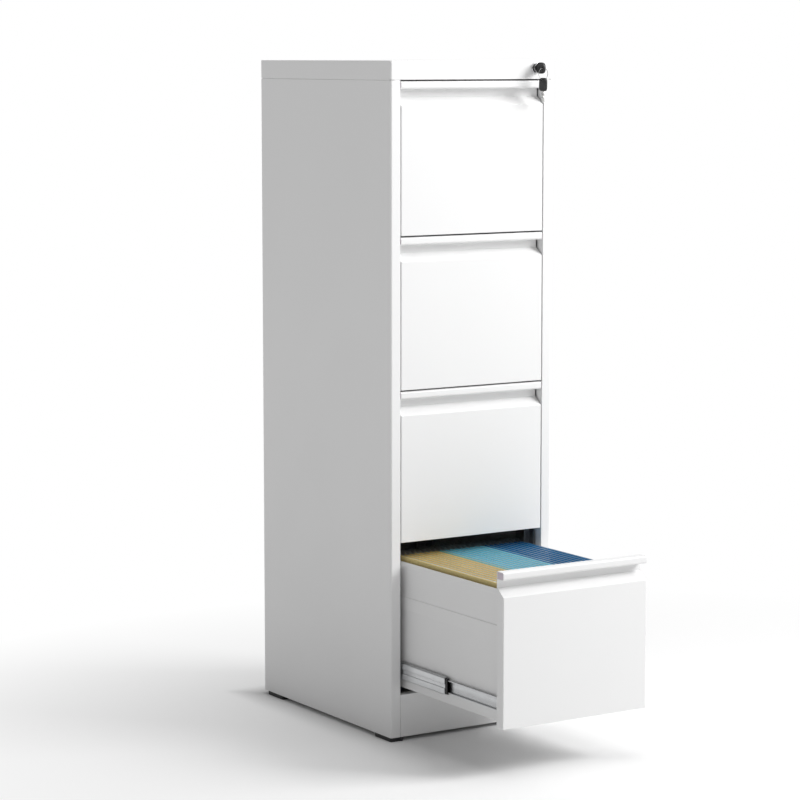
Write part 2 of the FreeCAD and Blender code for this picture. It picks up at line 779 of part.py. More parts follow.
def keys():
    """The key in the lock and the ring through its head."""
    half, rise, tang = size["blade_half"], size["blade_rise"], size["tang"]
    across = (LOCK_X - half, LOCK_X + half)
    head_y = (behind(-size["head_start"] - size["head_length"]), behind(-size["head_start"]))
    ring_y = behind(-size["ring_front"])
    blade_y = (head_y[1] - tang, behind(size["blade_depth"]))
    blade_z = (LOCK_Z - rise, LOCK_Z + rise)
    head = key_head(head_y, (LOCK_Z - size["head_rise"], LOCK_Z + size["head_rise"]),
                    (ring_y, LOCK_Z))
    node("key_blade", block(across, blade_y, blade_z))
    node("key_head", cut(head, block(across, blade_y, blade_z)))

    ring = doc.addObject("Part::Torus", "ring")
    ring.Placement.Rotation = ALONG["y"]
    place(ring, LOCK_X, ring_y, LOCK_Z - size["ring_radius"])
    ring.setExpression("Radius1", size["ring_radius"].text)
    ring.setExpression("Radius2", size["wire_radius"].text)
    node("key_ring", ring)


def lock_bar():
    """Bar beside the drawers, the plate that the drive pin lifts, and a finger above every catch."""
    near, far = size["bar_side"], size["bar_side"] + size["bar_sheet"]
    top = size["height"] - size["bar_top"]
    finger_y = (behind(size["finger_front"]), behind(size["finger_front"]) + size["bar_sheet"])
    pin_x, pin_z = LOCK_X + size["pin_offset"], LOCK_Z + size["pin_offset"]
    play = size["pin_radius"] + size["slot_play"]
    slot_x = (pin_x - play, pin_x + size["pin_swing"] + play)
    link_y = (behind(size["bar_front"]), behind(size["bar_front"]) + size["link_sheet"])
    strip_y = (behind(size["bar_front"]), behind(size["bar_front"] + size["bar_depth"]))
    strip = block((near, far), strip_y, (size["first_front"] + size["finger_bottom"], top))
    node("lock_bar", strip)
    plate = block((slot_x[0] - size["link_margin"], near), link_y, (top - size["link_height"], top))
    slot = block(slot_x, (link_y[0] - T, link_y[1] + T), (pin_z - play, pin_z + play))
    node("lock_bar_link", cut(plate, slot))
    fingers = []
    for number in range(1, DRAWERS + 1):
        low = drawer_origin(number)[1] + size["finger_bottom"]
        fingers.append(block((size["finger_reach"], near), finger_y, (low, low + size["finger_height"])))
    node("lock_bar_fingers", group(fingers))


def lock_bar_guides():
    """Plastic blocks on the side panel, each with a slot in which the bar slides."""
    play = size["guide_play"]
    near, far = size["bar_side"], size["bar_side"] + size["bar_sheet"]
    y = (behind(size["bar_front"]), behind(size["bar_front"] + size["bar_depth"]))
    wall = size["guide_wall"]
    guides = []
    for index in range(GUIDES):
        low = size["guide_first"] + size["guide_pitch"] * index
        high = low + size["guide_height"]
        solid = block((near - play - T, HALF - T), (y[0] - wall, y[1] + wall), (low, high))
        slot = block((near - play, far + play), (y[0] - play, y[1] + play), (low - T, high + T))
        guides.append(cut(solid, slot))
    node("lock_bar_guides", group(guides))


# ---- assembly and output ----------------------------------------------------------------------

def build():
    side_panel("left_side_panel", -1)
    side_panel("right_side_panel", 1)
    top_cap()
    back_panel()
    back_rivets()
    kick_plate()
    base_pan()
    feet()
    uprights()
    cabinet_rails()
    rail_screws()
    for number in range(1, DRAWERS + 1):
        drawer_front(number)
        drawer_handle(number)
        drawer_tray(number)
        drawer_rails(number)
        hanger_rails(number)
        middle_rails(number)
    hanging_files()
    lock_housing()
    lock_plug()
    keys()
    lock_bar()
    lock_bar_guides()


def check():
    """Stops if any object failed to recompute or any sub-part isn't a valid solid."""
    for item in doc.Objects:
        if "Invalid" in item.State or "Error" in item.State:
            raise RuntimeError(f"{item.Label} did not recompute")
    for name, feature in nodes:
        shape = feature.Shape
        if shape.isNull() or not shape.isValid() or not shape.Solids:
            raise RuntimeError(f"{name} is not a valid solid")


def write():
    os.makedirs("parts", exist_ok=True)
    for name, feature in nodes:
        feature.Shape.exportStep(f"parts/{name}.step")


build()
doc.recompute()
check()
write()
print(len(nodes), "sub-parts written")
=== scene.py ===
import math
import random

import bmesh
import bpy
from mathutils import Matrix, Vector


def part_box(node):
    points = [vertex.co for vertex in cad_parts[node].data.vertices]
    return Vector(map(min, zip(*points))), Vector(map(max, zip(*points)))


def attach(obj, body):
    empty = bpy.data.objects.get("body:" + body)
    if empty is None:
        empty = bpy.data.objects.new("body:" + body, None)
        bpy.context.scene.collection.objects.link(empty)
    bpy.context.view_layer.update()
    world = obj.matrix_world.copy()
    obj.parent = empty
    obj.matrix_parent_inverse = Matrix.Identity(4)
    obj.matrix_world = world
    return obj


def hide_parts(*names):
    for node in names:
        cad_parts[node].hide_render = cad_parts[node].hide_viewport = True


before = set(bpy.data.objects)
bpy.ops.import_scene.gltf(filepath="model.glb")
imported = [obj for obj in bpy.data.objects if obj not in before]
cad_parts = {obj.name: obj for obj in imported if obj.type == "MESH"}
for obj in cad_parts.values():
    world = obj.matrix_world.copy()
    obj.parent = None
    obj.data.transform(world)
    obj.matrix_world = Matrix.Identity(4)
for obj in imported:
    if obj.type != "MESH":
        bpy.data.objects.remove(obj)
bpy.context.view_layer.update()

MM = 0.001
DRAWERS = (1, 2, 3, 4)
SIDES = (-1, 1)
chance = random.Random(7)


# ---- materials --------------------------------------------------------------------------------

class Finish:
    """A principled material with helpers for noise, roughness variation and bump."""

    def __init__(self, name, base, roughness, metallic=0.0, specular=0.5):
        self.material = bpy.data.materials.new(name)
        self.material.use_nodes = True
        self.tree = self.material.node_tree
        self.shader = self.tree.nodes["Principled BSDF"]
        self.shader.inputs["Base Color"].default_value = (*base, 1)
        self.shader.inputs["Roughness"].default_value = roughness
        self.shader.inputs["Metallic"].default_value = metallic
        self.shader.inputs["Specular IOR Level"].default_value = specular
        self.place = self.node("ShaderNodeTexCoord").outputs["Object"]
        self.bump = None

    def node(self, kind):
        return self.tree.nodes.new(kind)

    def link(self, source, target):
        self.tree.links.new(source, target)

    def stretched(self, scale):
        """Object coordinates scaled along each axis, for grain that runs one way."""
        mapping = self.node("ShaderNodeMapping")
        mapping.inputs["Scale"].default_value = scale
        self.link(self.place, mapping.inputs["Vector"])
        return mapping.outputs["Vector"]

    def noise(self, scale, detail=3.0, grain=None):
        """Noise with about `scale` waves in a metre."""
        texture = self.node("ShaderNodeTexNoise")
        texture.inputs["Scale"].default_value = scale
        texture.inputs["Detail"].default_value = detail
        self.link(self.stretched(grain) if grain else self.place, texture.inputs["Vector"])
        return texture.outputs["Fac"]

    def between(self, factor, low, high):
        """Maps a 0 to 1 factor onto low to high."""
        spread = self.node("ShaderNodeMapRange")
        spread.inputs["From Min"].default_value = 0.3
        spread.inputs["From Max"].default_value = 0.7
        spread.inputs["To Min"].default_value = low
        spread.inputs["To Max"].default_value = high
        self.link(factor, spread.inputs["Value"])
        return spread.outputs["Result"]

    def vary_roughness(self, factor, low, high):
        self.link(self.between(factor, low, high), self.shader.inputs["Roughness"])
        return self

    def vary_colour(self, factor, first, second):
        mix = self.node("ShaderNodeMix")
        mix.data_type = "RGBA"
        mix.inputs["A"].default_value = (*first, 1)
        mix.inputs["B"].default_value = (*second, 1)
        self.link(self.between(factor, 0, 1), mix.inputs["Factor"])
        self.link(mix.outputs["Result"], self.shader.inputs["Base Color"])
        return self

    def height(self, low, high, least):
        """A factor that is least at and below the low level and 1 at and above the high level."""
        parts = self.node("ShaderNodeSeparateXYZ")
        self.link(self.place, parts.inputs["Vector"])
        spread = self.node("ShaderNodeMapRange")
        spread.inputs["From Min"].default_value = low
        spread.inputs["From Max"].default_value = high
        spread.inputs["To Min"].default_value = least
        self.link(parts.outputs["Z"], spread.inputs["Value"])
        return spread.outputs["Result"]

    def scale_colour(self, colour, first, second):
        """The colour times two factors that change over the surface."""
        product = self.node("ShaderNodeMath")
        product.operation = "MULTIPLY"
        self.link(first, product.inputs[0])
        self.link(second, product.inputs[1])
        scale = self.node("ShaderNodeVectorMath")
        scale.operation = "SCALE"
        scale.inputs[0].default_value = colour
        self.link(product.outputs["Value"], scale.inputs["Scale"])
        self.link(scale.outputs["Vector"], self.shader.inputs["Base Color"])
        return self

    def relief(self, factor, height, strength=1.0):
        """Bump of the given height in metres, laid over any earlier bump."""
        bump = self.node("ShaderNodeBump")
        bump.inputs["Distance"].default_value = height
        bump.inputs["Strength"].default_value = strength
        self.link(factor, bump.inputs["Height"])
        if self.bump:
            self.link(self.bump.outputs["Normal"], bump.inputs["Normal"])
        self.bump = bump
        self.link(bump.outputs["Normal"], self.shader.inputs["Normal"])
        return self


def shade(colour, factor):
    """The colour made darker or lighter by a factor."""
    return tuple(min(channel * factor, 1.0) for channel in colour)


def powder_coat():
    """White powder coat: fine orange peel, a faint slow waviness and uneven gloss."""
    white = (0.80, 0.80, 0.80)
    finish = Finish("powder_coat", white, 0.45, specular=0.35)
    finish.vary_colour(finish.noise(2.5), shade(white, 0.985), shade(white, 1.0))
    finish.vary_roughness(finish.noise(9, 4), 0.40, 0.50)
    finish.relief(finish.noise(8), 0.00030, 0.25)
    finish.relief(finish.noise(620, 2), 0.00003, 0.5)
    return finish.material


def zinc_plate():
    """Bright zinc: long drawing lines along the member and soft crystal patches."""
    zinc = (0.66, 0.67, 0.68)
    finish = Finish("zinc_plate", zinc, 0.32, metallic=1.0)
    finish.vary_colour(finish.noise(60, 4), shade(zinc, 0.94), zinc)
    finish.vary_roughness(finish.noise(1, 5, grain=(900, 14, 900)), 0.26, 0.40)
    finish.relief(finish.noise(1, 4, grain=(1500, 20, 1500)), 0.000006, 0.5)
    return finish.material


def moulded(name, colour, roughness):
    """Moulded plastic with a fine spark-eroded grain."""
    finish = Finish(name, colour, roughness, specular=0.45)
    finish.vary_colour(finish.noise(60, 3), shade(colour, 0.9), shade(colour, 1.1))
    finish.vary_roughness(finish.noise(140, 4), roughness - 0.06, roughness + 0.08)
    finish.relief(finish.noise(1800, 3), 0.00003, 0.6)
    return finish.material


def polished(name, colour, low, high):
    """Plated metal with handling marks in its gloss."""
    finish = Finish(name, colour, low, metallic=1.0)
    finish.vary_colour(finish.noise(300, 3), shade(colour, 0.92), colour)
    finish.vary_roughness(finish.noise(240, 5), low, high)
    finish.relief(finish.noise(1100, 3), 0.000012, 0.5)
    return finish.material


CARD_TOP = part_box("yellow_files")[1].z
# Depths under the cards' top edge where their painted shade is full and where it starts.
SHADE_FULL_DEPTH, SHADE_START_DEPTH = 2.0 * MM, 1.1 * MM


def card(name, colour, flank_shade):
    """Dyed card: paper fibres in colour and surface, dull. Below the top edge the colour is made
    darker by the last argument: painted shade standing in for the shadow in the gaps between the files."""
    finish = Finish(name, colour, 0.85, specular=0.2)
    fibres = finish.between(finish.noise(1, 6, grain=(420, 160, 420)), 0.82, 1.0)
    # Painted shade: full colour on the top edge, darker down the card's flanks.
    depth = finish.height(CARD_TOP - SHADE_FULL_DEPTH, CARD_TOP - SHADE_START_DEPTH, flank_shade)
    finish.scale_colour(colour, fibres, depth)
    finish.vary_roughness(finish.noise(80, 3), 0.78, 0.92)
    finish.relief(finish.noise(1, 5, grain=(2600, 900, 2600)), 0.00006, 0.7)
    return finish.material


FINISHES = {
    "white_steel": powder_coat(),
    "zinc_steel": zinc_plate(),
    "black_plastic": moulded("black_plastic_grain", (0.012, 0.012, 0.013), 0.42),
    "white_plastic": moulded("pale_plastic_grain", (0.60, 0.53, 0.59), 0.5),
    "lock_chrome": polished("lock_plate", (0.72, 0.72, 0.73), 0.2, 0.34),
    "key_steel": polished("key_plate", (0.62, 0.62, 0.61), 0.2, 0.34),
    # Each card's last number is how dark its painted shade below the top edge makes it.
    "yellow_card": card("yellow_card_stock", (1.0, 0.82, 0.38), 0.72),
    "light_blue_card": card("light_blue_card_stock", (0.32, 0.84, 1.0), 0.6),
    "dark_blue_card": card("dark_blue_card_stock", (0.035, 0.28, 0.60), 0.42),
}


# ---- CAD nodes that keep their shape ----------------------------------------------------------

def smooth_group():
    """Geometry nodes that shade every face smooth, for the weighted normals after them."""
    group = bpy.data.node_groups.new("shade_smooth", "GeometryNodeTree")
    group.interface.new_socket("Geometry", in_out="INPUT", socket_type="NodeSocketGeometry")
    group.interface.new_socket("Geometry", in_out="OUTPUT", socket_type="NodeSocketGeometry")
    start = group.nodes.new("NodeGroupInput")
    smooth = group.nodes.new("GeometryNodeSetShadeSmooth")
    end = group.nodes.new("NodeGroupOutput")
    group.links.new(start.outputs[0], smooth.inputs["Geometry"])
    group.links.new(smooth.outputs["Geometry"], end.inputs[0])
    return group


SMOOTH = smooth_group()
FINE_EDGE = 0.25 * MM
SHEET_EDGE = 0.45 * MM
THICK_EDGE = 0.8 * MM
EDGES = {"feet": 1.2 * MM, "lock_housing": THICK_EDGE, "lock_plug": 0.5 * MM}
EDGES.update({f"drawer_{number}_rail_stops": THICK_EDGE for number in DRAWERS})
ROUND_NODES = ("back_rivets", "rail_screws")


def soften(node, width):
    """Rounds a CAD node's edges as bent and coated sheet has them, without changing its mesh."""
    weld = node.modifiers.new("weld", "WELD")
    weld.merge_threshold = 0.01 * MM
    flat = node.modifiers.new("flat", "DECIMATE")
    flat.decimate_type = "DISSOLVE"
    flat.angle_limit = math.radians(0.5)
    bevel = node.modifiers.new("bevel", "BEVEL")
    bevel.width = width
    bevel.segments = 3
    bevel.limit_method = "ANGLE"
    bevel.angle_limit = math.radians(32)
    smooth = node.modifiers.new("smooth", "NODES")
    smooth.node_group = SMOOTH
    normals = node.modifiers.new("normals", "WEIGHTED_NORMAL")
    normals.keep_sharp = True


def finish_nodes():
    """Gives every CAD node its material and its soft edges."""
    for name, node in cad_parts.items():
        slot = node.data.materials[0].name
        for material_slot in node.material_slots:
            material_slot.material = FINISHES[slot]
        soften(node, EDGES.get(name, FINE_EDGE if name in ROUND_NODES else SHEET_EDGE))


# ---- mesh helpers -----------------------------------------------------------------------------

def piece(name, build, slot, body, replaced=(), sharp=35):
    """Makes an object from what build() adds to a bmesh, with a material and a body to ride on."""
    mesh = bmesh.new()
    build(mesh)
    bmesh.ops.recalc_face_normals(mesh, faces=mesh.faces)
    for face in mesh.faces:
        face.smooth = True
    for edge in mesh.edges:
        edge.smooth = len(edge.link_faces) == 2 and edge.calc_face_angle(0) < math.radians(sharp)
    data = bpy.data.meshes.new(name)
    mesh.to_mesh(data)
    mesh.free()
    data.materials.append(FINISHES[slot])
    made = bpy.data.objects.new(name, data)
    bpy.context.collection.objects.link(made)
    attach(made, body)
    if replaced:
        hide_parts(*replaced)
    return made


def loft(mesh, rings, closed=False):
    """Joins rings of equal length with quads. Open lofts get a cap at each end."""
    rows = [[mesh.verts.new(point) for point in ring] for ring in rings]
    pairs = list(zip(rows, rows[1:]))
    if closed:
        pairs.append((rows[-1], rows[0]))
    count = len(rows[0])
    for first, second in pairs:
        for index in range(count):
            after = (index + 1) % count
            mesh.faces.new((first[index], first[after], second[after], second[index]))
    if not closed:
        mesh.faces.new(rows[0])
        mesh.faces.new(list(reversed(rows[-1])))


def arc(centre, radius, start, end, steps):
    """Points on an arc, angles in degrees."""
    points = []
    for step in range(steps + 1):
        angle = math.radians(start + (end - start) * step / steps)
        points.append((centre[0] + radius * math.cos(angle), centre[1] + radius * math.sin(angle)))
    return points


def tape(points, thickness):
    """Closed outline of a strip of sheet whose middle line follows the points."""
    left, right = [], []
    for index, point in enumerate(points):
        before = points[max(index - 1, 0)]
        after = points[min(index + 1, len(points) - 1)]
        run = Vector((after[0] - before[0], after[1] - before[1])).normalized()
        offset = Vector((-run.y, run.x)) * thickness / 2
        left.append((point[0] + offset.x, point[1] + offset.y))
        right.append((point[0] - offset.x, point[1] - offset.y))
    return left + right[::-1]


def sphere(mesh, centre, radius):
    """A ball for a bearing."""
    made = bmesh.ops.create_icosphere(mesh, subdivisions=2, radius=radius)
    bmesh.ops.translate(mesh, verts=made["verts"], vec=centre)


# ---- ball-bearing slides ----------------------------------------------------------------------

SLIDE_SHEET = 1.2 * MM
SLIDE_BEND = 2.2 * MM
BEND_STEPS = 5
RACE_DEPTH = 0.35 * MM
RACE_STEPS = 6
INNER_FLANGE = 7 * MM
MIDDLE_FLANGE = 7.5 * MM
OUTER_FLANGE = 10 * MM
EMBOSS_HALF = 3.5 * MM
EMBOSS_SLOPE = 1.2 * MM
WEB_EMBOSS = 0.5 * MM
INNER_EMBOSS = 0.2 * MM
INNER_BEND = 1.4 * MM
INNER_RACE = 0.2 * MM
MIDDLE_EMBOSS = 1.3 * MM


def flange_line(web, tip, level, bend, race):
    """Middle line of one flange: from its free edge, over a raceway groove, into the bend."""
    towards = 1 if web > tip else -1
    straight = abs(web - tip) - bend
    line = []
    for step in range(RACE_STEPS + 1):
        share = step / RACE_STEPS
        dip = race * math.sin(math.pi * share)
        line.append((tip + towards * straight * share, level - dip))
    return line


def rail_line(web, tip, half, race, emboss, bend):
    """Middle line of a slide member: flange, bend, embossed web, bend, flange."""
    towards = 1 if web > tip else -1
    line = flange_line(web, tip, half, bend, race)
    centre = (web - towards * bend, half - bend)
    for x, z in arc(centre, bend, 90, 0, BEND_STEPS)[1:]:
        line.append((centre[0] + towards * abs(x - centre[0]), z))
    line.append((web, EMBOSS_HALF + EMBOSS_SLOPE))
    line.append((web - towards * emboss, EMBOSS_HALF))
    return line + [(x, -z) for x, z in reversed(line)]


def rail(mesh, side, web, tip, half, centre, y, race, emboss=WEB_EMBOSS, bend=SLIDE_BEND):
    """One slide member: web and tip are the middle line's distances from the middle plane."""
    outline = tape(rail_line(web, tip, half - SLIDE_SHEET / 2, race, emboss, bend), SLIDE_SHEET)
    rings = [[(side * x, level, centre + z) for x, z in outline] for level in y]
    loft(mesh, rings)


def rails_of(number):
    """The level of one drawer's slides, read from the frame."""
    low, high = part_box(f"drawer_{number}_middle_rails")
    return (low.z + high.z) / 2


def inner_rails(number):
    low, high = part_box(f"drawer_{number}_inner_rails")
    centre = rails_of(number)
    web = high.x - INNER_FLANGE + SLIDE_SHEET / 2

    def build(mesh):
        for side in SIDES:
            rail(mesh, side, web, high.x, (high.z - low.z) / 2, centre, (low.y, high.y), INNER_RACE,
                 INNER_EMBOSS, INNER_BEND)
    name = f"drawer_{number}_inner_rails"
    piece(f"{name}_rolled", build, "zinc_steel", f"drawer_{number}", (name,))


def middle_rails(number):
    low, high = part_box(f"drawer_{number}_middle_rails")
    centre = rails_of(number)

    def build(mesh):
        for side in SIDES:
            rail(mesh, side, high.x - SLIDE_SHEET / 2, high.x - MIDDLE_FLANGE,
                 (high.z - low.z) / 2, centre, (low.y, high.y), -RACE_DEPTH, MIDDLE_EMBOSS)
    name = f"drawer_{number}_middle_rails"
    piece(f"{name}_rolled", build, "zinc_steel", f"drawer_{number}_slides", (name,))


def cabinet_rails():
    low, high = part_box("cabinet_rails")
    half = rails_of(DRAWERS[-1]) - low.z

    def build(mesh):
        for number in DRAWERS:
            for side in SIDES:
                rail(mesh, side, high.x - SLIDE_SHEET / 2, high.x - OUTER_FLANGE,
                     half, rails_of(number), (low.y, high.y), -RACE_DEPTH)
    piece("cabinet_rails_rolled", build, "zinc_steel", "cabinet", ("cabinet_rails",))


BALL_PITCH = 9 * MM
BALLS = 18
CAGE_SHEET = 0.6 * MM
CAGE_END = 4 * MM
CAGE_MARGIN = 12 * MM
CAGE_SHARE = 0.55
CAGE_REACH = 70
CAGE_STEPS = 6


def ball_cages(number):
    """Two ball cages on each side: one in the middle member's front part, one round its rear part."""
    low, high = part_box(f"drawer_{number}_middle_rails")
    inner_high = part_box(f"drawer_{number}_inner_rails")[1]
    outer_half = rails_of(DRAWERS[-1]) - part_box("cabinet_rails")[0].z
    centre = rails_of(number)
    middle_half = (high.z - low.z) / 2
    inner_half = inner_high.z - centre
    length = BALL_PITCH * (BALLS - 1)
    front_start = low.y + CAGE_MARGIN * 2
    rear_start = high.y - CAGE_MARGIN - length
    places = (
        (front_start, inner_high.x - INNER_FLANGE / 2, inner_half, middle_half - SLIDE_SHEET),
        (rear_start, high.x - MIDDLE_FLANGE / 2, middle_half, outer_half - SLIDE_SHEET),
    )

    def balls(mesh):
        for side in SIDES:
            for start, x, near, far in places:
                radius = (far - near) / 2 - RACE_DEPTH / 2
                for index in range(BALLS):
                    for sign in SIDES:
                        level = centre + sign * (near + far) / 2
                        sphere(mesh, (side * x, start + BALL_PITCH * index, level), radius)

    def cages(mesh):
        for side in SIDES:
            for start, x, near, far in places:
                for sign in SIDES:
                    level = centre + sign * (near + far) / 2
                    bend = (far - near) / 2 * CAGE_SHARE
                    line = arc((side * x, level), bend, -CAGE_REACH * sign, CAGE_REACH * sign, CAGE_STEPS)
                    outline = tape(line, CAGE_SHEET)
                    ends = (start - CAGE_END, start + length + CAGE_END)
                    loft(mesh, [[(px, y, pz) for px, pz in outline] for y in ends])
    body = f"drawer_{number}_slides"
    piece(f"drawer_{number}_slide_balls", balls, "key_steel", body)
    piece(f"drawer_{number}_slide_cages", cages, "zinc_steel", body)


# ---- hanging files ----------------------------------------------------------------------------

FILE_GROUPS = (("yellow_files", "yellow_card", 8),
               ("light_blue_files", "light_blue_card", 9),
               ("dark_blue_files", "dark_blue_card", 8))
FILE_PITCH = 11.9 * MM
FILE_THICKNESS = 10 * MM
CARD_SHEET = 0.55 * MM
ROLL_RADIUS = 0.95 * MM
ROLL_HEM = 9 * MM
FLAP_GAP = 1.35 * MM
FOLD_RADIUS = 1.2 * MM
FLAP_STEPS = 7
LENGTH_STEPS = 14
ROLL_STEPS = 8
FOLD_STEPS = 6
BELLY = 0.5 * MM
WAVE_HEIGHT = 0.45 * MM
WAVES = 1.5
GAP_SPREAD = 0.1
TOP_SPREAD = 0.25
FILE_SHARP = 50
HOOK_SHEET = 0.9 * MM
HOOK_ARM = 3.4 * MM
HOOK_DROP = 7 * MM
HOOK_PLAY = 0.6 * MM
RAIL_SHEET = 3 * MM


def flap_line(side, top, bottom, gap):
    """One flap of a file: its hem, the roll over the hanger bar, and the sheet down to the fold."""
    centre = (side * gap, top - ROLL_RADIUS - CARD_SHEET / 2)
    line = [(centre[0] - side * ROLL_RADIUS, centre[1] - ROLL_HEM)]
    roll = arc(centre, ROLL_RADIUS, 180, 0, ROLL_STEPS)
    line += [(centre[0] + side * (x - centre[0]), z) for x, z in roll]
    high = centre[1]
    low = bottom + FOLD_RADIUS + CARD_SHEET / 2
    start = centre[0] + side * ROLL_RADIUS
    end = side * FOLD_RADIUS
    for step in range(1, FLAP_STEPS + 1):
        share = step / FLAP_STEPS
        belly = math.sin(math.pi * share) * BELLY
        line.append((start + (end - start) * share + side * belly, high + (low - high) * share))
    return line


def folder(mesh, x, top, bottom, y, gap, phase):
    """One hanging file, slightly wavy along its length as card is."""
    left = flap_line(-1, top, bottom, gap)
    fold = arc((0, bottom + FOLD_RADIUS + CARD_SHEET / 2), FOLD_RADIUS, 180, 360, FOLD_STEPS)[1:-1]
    line = left + fold + flap_line(1, top, bottom, gap)[::-1]
    outline = tape(line, CARD_SHEET)
    rings = []
    for step in range(LENGTH_STEPS + 1):
        share = step / LENGTH_STEPS
        level = y[0] + (y[1] - y[0]) * share
        ring = []
        for px, pz in outline:
            slack = math.sin(math.pi * (pz - bottom) / (top - bottom)) * WAVE_HEIGHT
            wave = slack * math.sin(2 * math.pi * share * WAVES + phase)
            ring.append((x + px + wave, level, pz))
        rings.append(ring)
    loft(mesh, rings)


def hook_end(card_end, rail_near, rail_far, rail_top, bar_top, away):
    """Outline of one end of a hanger bar in the YZ plane, from its top edge round the hook."""
    tip = rail_far + away * HOOK_ARM
    return [
        (card_end, bar_top - HOOK_ARM),
        (card_end + away * HOOK_ARM, bar_top),
        (tip - away * HOOK_PLAY * 2, bar_top),
        (tip, bar_top - HOOK_PLAY * 2),
        (tip + away * HOOK_PLAY, bar_top - HOOK_DROP),
        (rail_far + away * HOOK_PLAY, bar_top - HOOK_DROP),
        (rail_far + away * HOOK_PLAY, rail_top + HOOK_PLAY / 4),
        (rail_near - away * HOOK_PLAY, rail_top + HOOK_PLAY / 4),
        (rail_near - away * HOOK_PLAY * 2, rail_top - HOOK_PLAY * 3),
        (card_end, rail_top - HOOK_PLAY * 5),
    ]


def hanger_bar(mesh, x, y, rails, hooks):
    """A file's steel bar: in the card's roll along its length, hooked over both cross rails."""
    rail_top = rails[1].z
    top = hooks[1].z
    front = hook_end(y[0], rails[0].y + RAIL_SHEET, rails[0].y, rail_top, top, -1)
    rear = hook_end(y[1], rails[1].y - RAIL_SHEET, rails[1].y, rail_top, top, 1)
    outline = front[::-1] + rear
    faces = (x - HOOK_SHEET / 2, x + HOOK_SHEET / 2)
    loft(mesh, [[(level, py, pz) for py, pz in outline] for level in faces])


def hanging_files():
    """Every file as its own folded card with two hanger bars."""
    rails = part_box("drawer_4_hanger_rails")
    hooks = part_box("file_hooks")
    index = 0
    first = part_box(FILE_GROUPS[0][0])[0].x
    for node, slot, count in FILE_GROUPS:
        low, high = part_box(node)
        y = (low.y, high.y)
        colour = node.removesuffix("_files")
        for place in range(count):
            x = first + FILE_PITCH * index + FILE_THICKNESS / 2
            gap = FLAP_GAP + chance.uniform(-GAP_SPREAD, GAP_SPREAD) * MM
            top = high.z - chance.uniform(0, TOP_SPREAD) * MM
            phase = chance.uniform(0, 6)

            def sheet(mesh):
                folder(mesh, x, top, low.z, y, gap, phase)

            def bars(mesh):
                for side in SIDES:
                    hanger_bar(mesh, x + side * gap, y, rails, hooks)
            piece(f"{colour}_file_{place + 1}", sheet, slot, "drawer_4", (node,), sharp=FILE_SHARP)
            piece(f"{colour}_file_{place + 1}_bars", bars, "zinc_steel", "drawer_4", ("file_hooks",))
            index += 1


# ---- keys and ring ----------------------------------------------------------------------------

BOW_STEPS = 48
BOW_RIM = 0.5 * MM
RING_WIRE = 0.42 * MM
RING_TURNS = 2
RING_STEPS = 48
WIRE_STEPS = 10
RING_EASE = 6
KEY_ROUNDNESS, SPARE_ROUNDNESS = 2.7, 4.5
HOLE_RADIUS = 2.3 * MM


def bow(mesh, low, high, hole, roundness):
    """Plastic key head in the YZ plane: rounded outline, a hole, and a raised rim round a grip."""
    centre = Vector(((low.x + high.x) / 2, (low.y + high.y) / 2, (low.z + high.z) / 2))
    half = (high - low) / 2
    power = 2 / roundness
    outer, inner = [], []
    for step in range(BOW_STEPS):
        angle = 2 * math.pi * step / BOW_STEPS
        across, up = math.cos(angle), math.sin(angle)
        outer.append((centre.y + math.copysign(abs(across) ** power, across) * half.y,
                      centre.z + math.copysign(abs(up) ** power, up) * half.z))
        inner.append((hole[0] + across * HOLE_RADIUS, hole[1] + up * HOLE_RADIUS))
    thick = half.x
    profile = [(0.0, thick - BOW_RIM), (0.04, thick), (0.16, thick), (0.22, thick - BOW_RIM),
               (0.78, thick - BOW_RIM), (0.84, thick), (0.95, thick), (1.0, thick - BOW_RIM * 1.4)]
    profile += [(share, -depth) for share, depth in reversed(profile)]
    rings = []
    for share, depth in profile:
        rings.append([(centre.x + depth, near[0] + (far[0] - near[0]) * share,
                       near[1] + (far[1] - near[1]) * share) for near, far in zip(inner, outer)])
    loft(mesh, rings, closed=True)


def split_ring(mesh, centre, radius):
    """Two turns of round wire in the XZ plane, side by side, as a split ring has them."""
    rings = []
    count = RING_TURNS * RING_STEPS
    for step in range(count + 1):
        angle = 2 * math.pi * RING_TURNS * step / count - math.pi / 3
        side = math.copysign(1, step - count / 2)
        ease = max(-1, min(1, (step - count / 2) / RING_EASE))
        shift = RING_WIRE * (ease if abs(ease) < 1 else side)
        out = Vector((math.cos(angle), 0, math.sin(angle)))
        middle = centre + out * radius + Vector((0, shift, 0))
        ring = []
        for turn in range(WIRE_STEPS):
            spot = 2 * math.pi * turn / WIRE_STEPS
            ring.append(middle + (out * math.cos(spot) + Vector((0, math.sin(spot), 0))) * RING_WIRE)
        rings.append(ring)
    loft(mesh, rings)


CUTS = (1.2, 2.0, 0.8, 1.6, 1.0)


def spare_blade(mesh, x, y, top, length, half, thick):
    """A flat key blade with a row of cuts down one edge and a slanted tip."""
    low = top - length
    outline = [(y + half, top), (y + half, low + half), (y + half * 0.3, low), (y - half * 0.4, low)]
    step = length * 0.12
    level = low + half * 0.8
    for cut in CUTS:
        outline.append((y - half, level))
        outline.append((y - half + cut * MM, level + step / 2))
        outline.append((y - half + cut * MM, level + step * 0.75))
        level += step * 1.3
    outline += [(y - half, level), (y - half, top)]
    loft(mesh, [[(side, py, pz) for py, pz in outline] for side in (x - thick / 2, x + thick / 2)])


SPARE_HANG = 0.9 * MM
SPARE_MARGIN = 4.2 * MM
SPARE_BLADE = 24 * MM
SPARE_ROOT = 2 * MM


